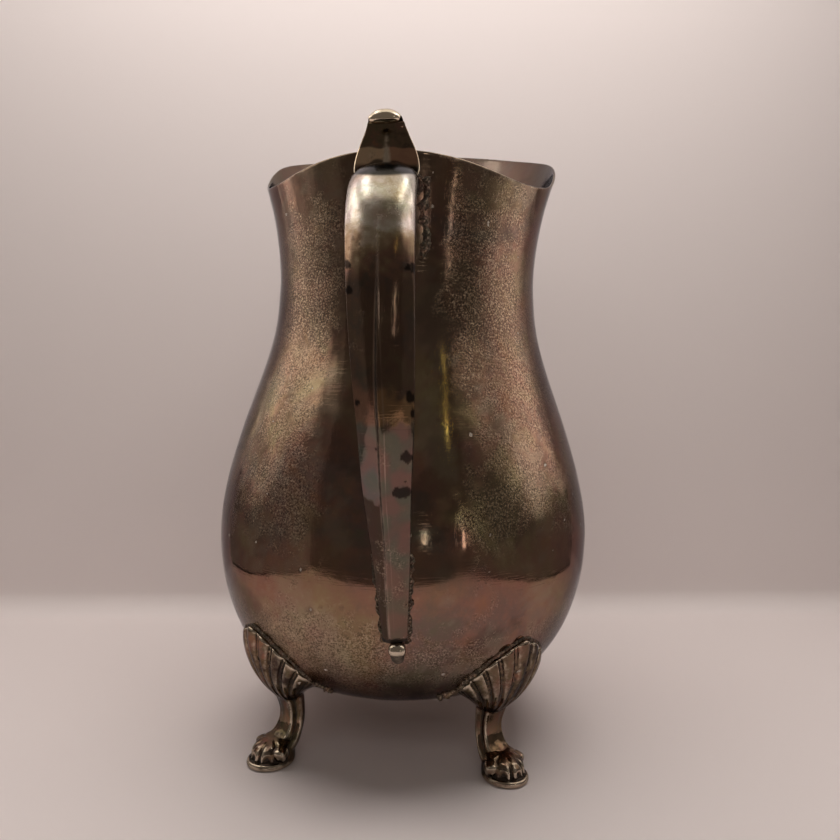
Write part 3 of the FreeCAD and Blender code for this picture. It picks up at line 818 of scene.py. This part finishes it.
def plated(name, amount, patch, contrast, cover, rough, pits, dirt=1.0, wear=0.6, bare=0.0, relief=1.0,
           tint=(1, 1, 1), core=(0.62, 0.54, 0.46)):
    """Tarnished silver plate. amount is the mean film and patch its scale; cover is the speckle's share,
    dirt and wear those of the creases and edges, and pits that of the pits, which core colours; bare is how
    much less film clean plate has. "region" sets the shares at a vertex, and "paint" lies over the film."""
    m, t = new_material(name)
    bsdf = t.nodes["Principled BSDF"]
    place = add(t, "TexCoord").outputs["Object"]
    region = add(t, "Attribute", attribute_name="region")
    zones = add(t, "SeparateXYZ", {0: region.outputs["Vector"]})
    speckled, copper, clean = zones.outputs[0], zones.outputs[1], zones.outputs[2]
    film_amount = minus(t, plus(t, amount, times(t, copper, 0.10)), times(t, clean, bare))
    film = use(t, TARNISH, {"Vector": place, "Patch Scale": patch, "Amount": film_amount,
                            "Contrast": contrast})
    grains = use(t, SPECKLE, {"Vector": place, "Grain Scale": 1500.0,
                              "Cover": times(t, speckled, cover, clamp=True)})
    pit = use(t, PITS, {"Vector": place, "Scale": 260.0, "Kept": pits * 0.16})
    crease = use(t, CREASES, {"Vector": place, "Dirt": dirt, "Wear": wear})
    lines = use(t, SCRATCHES, {"Vector": place, "Scale": 55.0})
    light, hollow = grains.outputs["Light"], crease.outputs["Crease"]
    colour = blend(t, 1.0, film.outputs["Color"], (*tint, 1), "MULTIPLY")
    hue = add(t, "ValToRGB", {"Fac": noise(t, place, 34.0, 4.0, 0.6, 1.2)})
    set_stops(hue, [(0.34, (0.93, 1.06, 0.92)), (0.47, (1.0, 1.0, 1.0)), (0.58, (1.05, 0.93, 1.02)),
                    (0.68, (1.12, 0.94, 0.84))])
    colour = blend(t, 0.8, colour, hue.outputs["Color"], "MULTIPLY")
    laid = add(t, "Attribute", attribute_name="paint")
    colour = blend(t, laid.outputs["Alpha"], colour, (0, 0, 0, 1))
    colour = blend(t, 1.0, colour, laid.outputs["Color"], "ADD")
    over = ((light, 0.62, (0.62, 0.47, 0.34)), (grains.outputs["Dark"], 0.85, (0.06, 0.042, 0.030)),
            (pit.outputs["Ring"], 0.55, (0.16, 0.10, 0.07)), (pit.outputs["Core"], 0.85, core),
            (crease.outputs["Edge"], 0.62, (0.78, 0.66, 0.52)), (hollow, 0.88, (0.030, 0.022, 0.016)))
    for mask, share, shade in over:
        colour = blend(t, times(t, mask, share), colour, (*shade, 1))
    t.links.new(colour, bsdf.inputs["Base Color"])
    dull = noise(t, place, 65.0, 4.0, 0.6, 0.5)
    roughness = plus(t, rough, times(t, step_up(t, dull, 0.42, 0.72), 0.10))
    roughness = plus(t, roughness, times(t, light, 0.10))
    roughness = plus(t, roughness, times(t, clean, 0.11))
    roughness = plus(t, roughness, times(t, hollow, 0.35), clamp=True)
    t.links.new(roughness, bsdf.inputs["Roughness"])
    metal = minus(t, 1.0, times(t, hollow, 0.6))
    metal = minus(t, metal, times(t, light, 0.06))
    metal = minus(t, metal, times(t, pit.outputs["Core"], 0.5), clamp=True)
    t.links.new(metal, bsdf.inputs["Metallic"])
    height = times(t, grains.outputs["Height"], 0.020)
    height = plus(t, height, times(t, lines.outputs["Height"], -0.004))
    height = plus(t, height, times(t, pit.outputs["Core"], -0.07))
    height = plus(t, height, times(t, noise(t, place, 170.0, 3.0, 0.5), 0.05))
    bump = add(t, "Bump", {"Height": height, "Strength": 0.8 * relief, "Distance": 0.001})
    t.links.new(bump.outputs["Normal"], bsdf.inputs["Normal"])
    bsdf.inputs["Specular Tint"].default_value = (0.52, 0.54, 0.58, 1)
    return m


SHEET = plated("tarnished_sheet", 0.52, patch=17.0, contrast=1.5, cover=1.0, rough=0.055, pits=0.5, bare=0.3)
HANDLE_FINISH = plated("handled_plate", 0.62, patch=38.0, contrast=1.8, cover=0.45, rough=0.09, bare=0.56,
                       pits=0.3, wear=0.9, core=(0.03, 0.02, 0.02))
CAST = plated("cast_plate", 0.76, patch=60.0, contrast=2.1, tint=(1.0, 0.86, 0.75), cover=0.45, rough=0.06,
              wear=1.3, pits=0.5, relief=1.2)
SOLDER = plated("soft_solder", 0.70, patch=200.0, contrast=2.4, cover=1.0, rough=0.28, dirt=0.7, wear=0.30,
                pits=0.8, relief=1.8)


# ---------------------------------------------------------------- finishes and painted light on each piece

def read_vectors(piece, what):
    """A vector of every vertex of a piece, as an array."""
    values = np.empty(3 * len(piece.data.vertices))
    piece.data.vertices.foreach_get(what, values)
    return values.reshape(-1, 3)


def points_of(piece):
    """Vertex positions of a piece in millimetres."""
    return read_vectors(piece, "co") / MM


def set_region(piece, speckled, copper, clean):
    """Writes the attribute "region": the shares of speckle, copper tone and clean plate at each vertex."""
    every = np.zeros(len(piece.data.vertices))
    values = np.stack([every + speckled, every + copper, every + clean], -1)
    piece.data.attributes.new("region", "FLOAT_VECTOR", "POINT").data.foreach_set("vector", values.ravel())


def paint(piece, *layers):
    """Writes the attribute "paint": colours laid one over the other, each by its own share at each vertex,
    with the colour already multiplied by what it covers."""
    laid = np.zeros((len(piece.data.vertices), 4))
    for share, colour in layers:
        share = np.clip(share, 0, 1)[:, None]
        laid = laid * (1 - share) + share * np.array([*colour, 1.0])
    piece.data.attributes.new("paint", "FLOAT_COLOR", "POINT").data.foreach_set("color", laid.ravel())


def handle_places(piece):
    """For each vertex of a piece on the handle: how far across it lies, as a share of half the width and in
    millimetres, and its height, with the lean and the turn taken back."""
    p = turned(points_of(piece), -HANDLE_TURN)
    a = math.radians(-HANDLE_LEAN)
    x = (p[:, 0] - (p[:, 2] - LEAN_Z) * math.sin(a)) / math.cos(a) - bend(p[:, 2])
    half = np.interp(p[:, 2], HANDLE[::-1, 1], HANDLE[::-1, 2]) / 2
    return x / half, x, p[:, 2]


def blots(x, z, places, seed):
    """Share covered by blots with ragged edges, given as (across, height, radius)."""
    total = np.zeros(len(x))
    ragged = 0.35 * ripple(x, 0 * x, z, 2.6, seed)
    for cx, cz, r in places:
        d = np.sqrt((x - cx) ** 2 + (0.8 * (z - cz)) ** 2) / r
        total = np.maximum(total, ramp_up(d + ragged, 1.12, 0.92))
    return total


def finish_and_light_vessel(vessel):
    """Speckle on the flanks and the bottom, copper tone low down, and thin stains: brown and pale clouds
    drawn out upwards and russet on the lower belly; a painted dark reflection on the neck, lifted towards
    its sides, and a darker inside."""
    at = points_of(vessel)
    x, y, z = at.T
    across = np.abs(x) / np.maximum(np.hypot(x, y), 1.0)
    low = ramp_up(z, 80, 55)
    flank = ramp_up(across, 0.22, 0.50) * ramp_up(z, 82, 104) * ramp_up(z, 245, 200)
    cloud = 0.5 + 0.5 * ripple_at(at, 48.0, 61)
    set_region(vessel, np.clip(0.08 + 0.62 * flank + 0.62 * low + 0.5 * (cloud - 0.5), 0, 1),
               np.clip(low + ramp_up(z, 106, 96) * 0.8 + 0.4 * cloud, 0, 1), 0.3 * cloud)
    facing = read_vectors(vessel, "normal")
    inside = ramp_up(-(facing[:, 0] * x + facing[:, 1] * y), 2.0, 12.0) * ramp_up(z, 150, 160)
    russet = ramp_up(z, 97, 88) * ramp_up(z, 66, 74) * (0.5 + 0.5 * cloud)
    # painted dark reflection on the neck, taken off towards its sides
    neck = ramp_up(z + 9 * (cloud - 0.5), 150, 172) * (0.55 + 0.35 * cloud)
    neck *= 1 - 0.8 * ramp_up(across, 0.80, 0.97)
    stain = ripple(x, y, 0.55 * z, 26.0, 71) + 0.35 * ripple(x, y, z, 7.0, 72)
    bloom = ripple(x, y, 0.6 * z, 19.0, 73) + 0.4 * ripple(x, y, z, 5.0, 74)
    paint(vessel,
          (0.42 * ramp_up(stain, 0.10, 0.42), (0.075, 0.048, 0.038)),
          (0.30 * ramp_up(bloom, 0.25, 0.55), (0.30, 0.25, 0.19)),
          (0.34 * russet, (0.26, 0.12, 0.08)),
          (0.62 * neck, (0.085, 0.055, 0.042)),
          (0.45 * inside, (0.12, 0.10, 0.085)))


# blots on the handle: millimetres across, height, radius
BLOTS = (
    (6.6, 127.0, 1.7), (5.6, 115.4, 1.9), (3.2, 115.8, 1.3), (8.8, 146.0, 1.7), (8.9, 141.0, 1.0),
    (9.6, 185.0, 1.3), (-9.6, 186.0, 1.2), (-9.3, 178.0, 1.0), (-2.6, 130.0, 0.45), (-8.0, 144.5, 0.8),
)


def finish_and_light_handle_outer(outer):
    """Clean bright plate on the upper bend, dark film down the middle, warm and then grey worn plate below
    it, painted shade on the lower left flank, rubbed plate on the keel lightened as a painted highlight,
    painted shadow on the top under the leaf, and black blots."""
    q, x, z = handle_places(outer)
    edge = z + 4.0 * ripple(x, 0 * x, z, 14.0, 63) + 1.2 * ripple(x, 0 * x, z, 4.0, 65)
    set_region(outer, 0.3 + 0.5 * ramp_up(z, 125, 80), 0.8 * ramp_up(z, 150, 100), ramp_up(edge, 183, 201))
    from_keel = q - keel_place(z)
    left, right = ramp_up(from_keel, 0.0, -0.06), ramp_up(from_keel, 0.0, 0.06)
    worn = ramp_up(edge, 112.6, 113.4) * ramp_up(edge, 137.5, 134.0)
    warm = ramp_up(edge, 133.0, 137.0) * ramp_up(edge, 150.0, 146.0)
    below = ramp_up(edge, 137, 134)
    rubbed = bell(from_keel * x / np.where(np.abs(q) < 1e-3, 1e-3, q), 0.40) * ramp_up(z, 196, 186)
    mixed = 0.5 + 0.5 * ripple(x, 0 * x, z, 7.0, 69)
    paint(outer,
          (0.62 * ramp_up(edge, 193, 180) * ramp_up(edge, 134, 142), (0.055, 0.04, 0.028)),
          (0.60 * warm * left, (0.26, 0.13, 0.085)),
          (0.60 * warm * right, (0.40, 0.23, 0.11)),
          (0.60 * worn * left, (0.12, 0.125, 0.125)),
          (0.72 * below * right, (0.115, 0.095, 0.078)),
          (0.42 * ramp_up(mixed, 0.35, 0.8) * below, (0.22, 0.10, 0.085)),
          (0.35 * ramp_up(1 - mixed, 0.5, 0.9) * below, (0.10, 0.13, 0.09)),
          # painted shade: the lower left flank darkened as the side turned from the light
          (0.85 * ramp_up(edge, 113.2, 112.4) * left, (0.050, 0.032, 0.024)),
          (0.35 * ramp_up(edge, 96, 80) * right, (0.20, 0.12, 0.085)),
          # painted shadow on the handle's top, under the leaf's lip
          (0.94 * ramp_up(z - 2.4 * q**2, 213.8, 214.8), (0.030, 0.028, 0.020)),
          # rubbed plate along the keel, lightened further as a painted highlight
          (0.70 * rubbed * (0.60 + 0.40 * ripple(x, 0 * x, z, 12.0, 66)), (0.50, 0.36, 0.29)),
          (0.92 * blots(x, z, BLOTS, 67), (0.022, 0.016, 0.014)))


def finish_and_light_handle_inner(inner):
    """A pale strip along the lower part of the seam, a painted highlight, broken by three notches."""
    _, _, z = handle_places(inner)
    # painted highlight: a pale strip down the seam
    strip = ramp_up(z, 104, 108) * ramp_up(z, 158, 152)
    for height, near, far in ((139.0, 2.6, 3.6), (127.5, 1.2, 1.9), (116.0, 1.0, 1.7)):
        strip *= ramp_up(np.abs(z - height), near, far)
    set_region(inner, 0.4, 0.2, 0.25)
    paint(inner, (0.8 * strip, (0.52, 0.46, 0.40)))


def finish_and_light_leaf(leaf):
    """Warm panels low on the leaf, the left one lightened as a painted reflection, a pale rubbed tip
    lightened further as a painted highlight, and a painted shadow at its foot.
    """
    _, x, z = handle_places(leaf)
    edge = z + 0.5 * ripple(x, 0 * x, z, 5.0, 68)
    foot = ramp_up(z, 221.5, 223.5)
    rolled = ramp_up(-points_of(leaf)[:, 1], 64.2, 65.4) * ramp_up(z, 234.0, 235.0)
    set_region(leaf, 0.3, 0.3, 0.1 + 0.9 * ramp_up(z, 236.8, 238.0))
    paint(leaf,
          # painted reflection: the left panel lighter than its warm tone
          (0.55 * ramp_up(edge, 229.0, 228.4) * foot * ramp_up(x, -0.4, -0.8), (0.95, 0.68, 0.44)),
          (0.60 * ramp_up(edge, 228.5, 228.0) * foot * ramp_up(x, 0.5, 0.9), (0.55, 0.30, 0.19)),
          # rubbed tip, lightened further as a painted highlight
          (0.85 * rolled, (1.0, 0.82, 0.62)),
          # painted shadow at the foot of the leaf, under its lip
          (0.80 * ramp_up(edge + 2.6 * (x / 10.5) ** 2, 224.4, 223.6), (0.025, 0.020, 0.016)))


def finish_scroll(scroll):
    """Plate rubbed half clean."""
    set_region(scroll, 0.2, 0.3, 0.5)
    paint(scroll, (np.full(len(scroll.data.vertices), 0.5), (0.52, 0.44, 0.34)))


def finish_and_light_leg(leg):
    """Painted shade, nearly black, where the toes meet the pad."""
    x, y, z = points_of(leg).T
    # painted shade low on the paw and toes, just above the pad
    sunk = ramp_up(z, 2.35, 2.7) * ramp_up(z, 4.9, 4.1) * ramp_up(np.hypot(x, y), 60.0, 63.0)
    set_region(leg, 0.45, 0.5, 0.15)
    paint(leg, (0.8 * sunk, (0.03, 0.024, 0.02)))


def finish_solder(bead):
    """Speckled all over, with nothing laid on it."""
    set_region(bead, 0.9, 0.4, 0.25)
    paint(bead)


for made, finished in (
        (make_vessel(SHEET), finish_and_light_vessel), (make_handle_outer(HANDLE_FINISH), finish_and_light_handle_outer),
        (make_handle_inner(HANDLE_FINISH), finish_and_light_handle_inner), (make_thumb_leaf(CAST), finish_and_light_leaf),
        (make_tail_scroll(CAST), finish_scroll)):
    finished(made)
for leg in make_legs(CAST):
    finish_and_light_leg(leg)
finish_solder(make_root_solder(SOLDER))
finish_solder(make_tail_solder(SOLDER))
for number, (name, turn) in enumerate(LEG_TURNS.items()):
    finish_solder(make_leg_solder(name, turn, SOLDER, 50 + 5 * number))


# ---------------------------------------------------------------- studio, in metres

TENT_X, TENT_TOP, TENT_FRONT, WALL_Y, ROOM_Y = 0.27, 0.56, -0.285, 0.155, -1.5
WARM = (1.0, 0.96, 0.92)


def one_sided(tree, surface, out):
    """Shows surface on the side that a sheet faces, and nothing on its back, so that it hides nothing."""
    mix = add(tree, "MixShader")
    clear = add(tree, "BsdfTransparent")
    side = add(tree, "NewGeometry")
    tree.links.new(side.outputs["Backfacing"], mix.inputs["Fac"])
    tree.links.new(surface, mix.inputs[1])
    tree.links.new(clear.outputs["BSDF"], mix.inputs[2])
    tree.links.new(mix.outputs["Shader"], out.inputs["Surface"])


def glow(name, colour, strength):
    """A one-sided surface that shines evenly."""
    m, t = new_material(name)
    t.nodes.clear()
    out = add(t, "OutputMaterial")
    shine = add(t, "Emission", {"Color": (*colour, 1), "Strength": strength})
    one_sided(t, shine.outputs["Emission"], out)
    return m


def paper(name, colour):
    """One-sided matt paper."""
    m, t = new_material(name)
    bsdf, out = t.nodes["Principled BSDF"], t.nodes["Material Output"]
    bsdf.inputs["Base Color"].default_value = (*colour, 1)
    bsdf.inputs["Roughness"].default_value = 0.7
    bsdf.inputs["Specular IOR Level"].default_value = 0.2
    one_sided(t, bsdf.outputs["BSDF"], out)
    return m


def foil(name, seed, strength):
    """Crumpled foil: a bright upper part whose lower edge climbs toward the open front, over a dim lower
    part; creased cells of unequal brightness, and dark borders at the foot and at the back edge."""
    m, t = new_material(name)
    t.nodes.clear()
    place = add(t, "TexCoord").outputs["Object"]
    split = add(t, "SeparateXYZ", {0: place})
    y, z = split.outputs[1], split.outputs[2]
    moved = add(t, "Mapping", {"Vector": place, "Location": (seed, 2 * seed, 0)}).outputs[0]
    shift = add(t, "TexNoise", {"Vector": moved, "Scale": 7.0, "Detail": 3.0})
    bent = add(t, "VectorMath", {0: shift.outputs["Color"], 3: 0.10}, operation="SCALE")
    bent = add(t, "VectorMath", {0: moved, 1: bent.outputs[0]}, operation="ADD")
    cells = add(t, "TexVoronoi", {"Vector": bent.outputs[0], "Scale": 13.0})
    shade = add(t, "SeparateColor", {0: cells.outputs["Color"]}).outputs[0]
    soft = noise(t, moved, 9.0, 4.0, 0.6, 0.8)
    front = maths(t, "MAXIMUM", minus(t, -0.03, y), 0.0)
    foot = plus(t, front, plus(t, 0.075, times(t, soft, 0.09)))
    bright = step_up(t, minus(t, z, foot), -0.008, 0.016)
    mottle = plus(t, times(t, shade, 1.25), times(t, step_up(t, soft, 0.38, 0.62), 0.60))
    fall = minus(t, 1.0, times(t, front, 1.6))
    high = plus(t, 1.0, times(t, step_up(t, z, 0.34, 0.40), 0.8))
    level = times(t, times(t, bright, mottle), times(t, fall, high))
    level = plus(t, level, plus(t, 0.14, times(t, soft, 0.16)))
    border = times(t, step_up(t, z, 0.003, 0.006), step_up(t, minus(t, 0.151, y), -0.002, 0.002))
    level = times(t, level, plus(t, 0.12, times(t, border, 0.88)))
    shine = add(t, "Emission", {"Color": (1.0, 0.92, 0.84, 1),
                                          "Strength": times(t, level, strength)})
    t.links.new(shine.outputs[0], add(t, "OutputMaterial").inputs["Surface"])
    return m


def card(name, corners, finish, camera=True, glossy=True, diffuse=True):
    """A flat or curved stage sheet from a grid of points (rows, columns, 3)."""
    corners = np.asarray(corners, float)
    rows, columns, _ = corners.shape
    i, j = np.meshgrid(np.arange(rows - 1), np.arange(columns - 1), indexing="ij")
    first = i * columns + j
    quads = np.stack([first, first + 1, first + columns + 1, first + columns], -1)
    mesh = bpy.data.meshes.new(name)
    mesh.from_pydata(corners.reshape(-1, 3).tolist(), [], quads.reshape(-1, 4).tolist())
    mesh.polygons.foreach_set("use_smooth", np.ones(len(mesh.polygons), bool))
    mesh.materials.append(finish)
    sheet = bpy.data.objects.new(name, mesh)
    bpy.context.collection.objects.link(sheet)
    sheet.visible_camera, sheet.visible_glossy, sheet.visible_diffuse = camera, glossy, diffuse
    return sheet


def level_sheet(left, right, first_y, last_y, z):
    """Corners of a level rectangle, which faces down when it runs from a greater y to a lesser."""
    return [[(left, y, z), (right, y, z)] for y in (first_y, last_y)]


def side_sheet(x, first_y, last_y):
    """Corners of a tent wall."""
    return [[(x, y, 0.0), (x, y, TENT_TOP)] for y in (first_y, last_y)]


def make_sweep():
    """Floor and back wall of one paper, with a round corner between them that runs slantwise, and more floor
    in front."""
    sweep_paper = paper("sweep_paper", (0.74, 0.665, 0.65))
    turn = np.linspace(0.1, 1.5, 16)
    floor_y, wall_y = np.linspace(TENT_FRONT, 0.145, 12), np.linspace(0.1645, 0.176, 12)
    y = np.concatenate([floor_y, 0.150 + 0.014 * np.sin(turn), wall_y])
    z = np.concatenate([np.zeros(12), 0.014 * (1 - np.cos(turn)), np.linspace(0.018, 0.75, 12)])
    x = np.linspace(-1.2, 1.2, 9)
    slant = 0.17 * np.clip((y[:, None] - TENT_FRONT) / 0.43, 0, 1) * x[None, :]
    grid = np.stack(np.broadcast_arrays(x[None, :], y[:, None] + slant - 0.012, z[:, None]), -1)
    card("sweep", grid, sweep_paper)
    card("floor_apron", level_sheet(-3, 3, -3, TENT_FRONT, -0.001), sweep_paper, glossy=False, diffuse=False)


def make_lights():
    """Two lights that only light, and what is only seen in reflections: the ceiling with its two strips, the
    foil walls, and a tube and two lamps out in the room."""
    card("tent_top", level_sheet(-TENT_X, TENT_X, 0.11, -0.16, TENT_TOP), glow("tent_light", WARM, 5.6),
         camera=False, glossy=False)
    sloping = [[(-0.35, y, z), (0.35, y, z)] for y, z in ((-0.62, 0.70), (-0.78, 0.45))]
    card("front_fill", sloping, glow("fill_light", WARM, 1.1), camera=False, glossy=False)
    ceiling, strip = (1.0, 0.95, 0.86), (1.0, 0.97, 0.92)
    tube, lamp = glow("room_tube", (0.95, 0.85, 0.30), 6.0), glow("room_lamp", (1.0, 0.97, 0.88), 3.2)
    seen = [
        ("top_seen", level_sheet(-0.30, 0.30, 0.17, -0.16, 0.561), glow("top_glow", ceiling, 0.95)),
        ("top_strip_left", level_sheet(-0.17, -0.11, 0.16, -0.15, 0.555), glow("strip_left", strip, 3.0)),
        ("top_strip_right", level_sheet(0.11, 0.17, 0.16, -0.15, 0.555), glow("strip_right", strip, 3.0)),
        ("tent_left", side_sheet(-TENT_X, WALL_Y, TENT_FRONT), foil("left_foil", 3.1, 1.0)),
        ("tent_right", side_sheet(TENT_X, TENT_FRONT, WALL_Y), foil("right_foil", 7.7, 0.77)),
    ]
    lights = ((1.160, 1.290, 0.009, 0.11, tube), (1.330, 0.290, 0.036, 0.24, lamp),
              (0.505, 0.190, 0.045, 0.07, lamp))
    for k, (x, z, w, h, shine) in enumerate(lights):
        corners = [[(x + w, ROOM_Y, height), (x - w, ROOM_Y, height)] for height in (z - h, z + h)]
        seen.append(("room_lamp_%d" % k, corners, shine))
    for name, corners, finish in seen:
        card(name, corners, finish, camera=False, diffuse=False).visible_shadow = False


def make_room():
    """A dim room, paler where the camera looks straight at it."""
    world = bpy.data.worlds.new("room")
    bpy.context.scene.world = world
    world.use_nodes = True
    t = world.node_tree
    seen_direct = add(t, "LightPath").outputs["Is Camera Ray"]
    tone = blend(t, seen_direct, (0.120, 0.105, 0.092, 1), (0.60, 0.50, 0.46, 1))
    t.links.new(tone, t.nodes["Background"].inputs["Color"])


def make_camera():
    """A short-lens camera below the mouth's height, tipped down, and rolled by about one degree."""
    azimuth, pitch, roll = math.radians(5.7), math.radians(5.0), math.radians(0.96)
    right = np.array([math.cos(azimuth), math.sin(azimuth), 0.0])
    ahead = np.array([-math.sin(azimuth), math.cos(azimuth), 0.0])
    fwd = math.cos(pitch) * ahead - math.sin(pitch) * np.array([0.0, 0.0, 1.0])
    up = np.cross(right, fwd)
    matrix = np.eye(4)
    matrix[:3, 0] = math.cos(roll) * right + math.sin(roll) * up
    matrix[:3, 1] = math.cos(roll) * up - math.sin(roll) * right
    matrix[:3, 2] = -fwd
    matrix[:3, 3] = (0.0414, -0.3516, 0.1617)
    data = bpy.data.cameras.new("camera")
    data.sensor_width, data.lens, data.clip_start = 36.0, 36.0, 0.01
    camera = bpy.data.objects.new("camera", data)
    bpy.context.collection.objects.link(camera)
    camera.matrix_world = Matrix(matrix.tolist())
    bpy.context.scene.camera = camera


make_sweep()
make_lights()
make_room()
make_camera()
bpy.context.scene.view_settings.view_transform = "Standard"
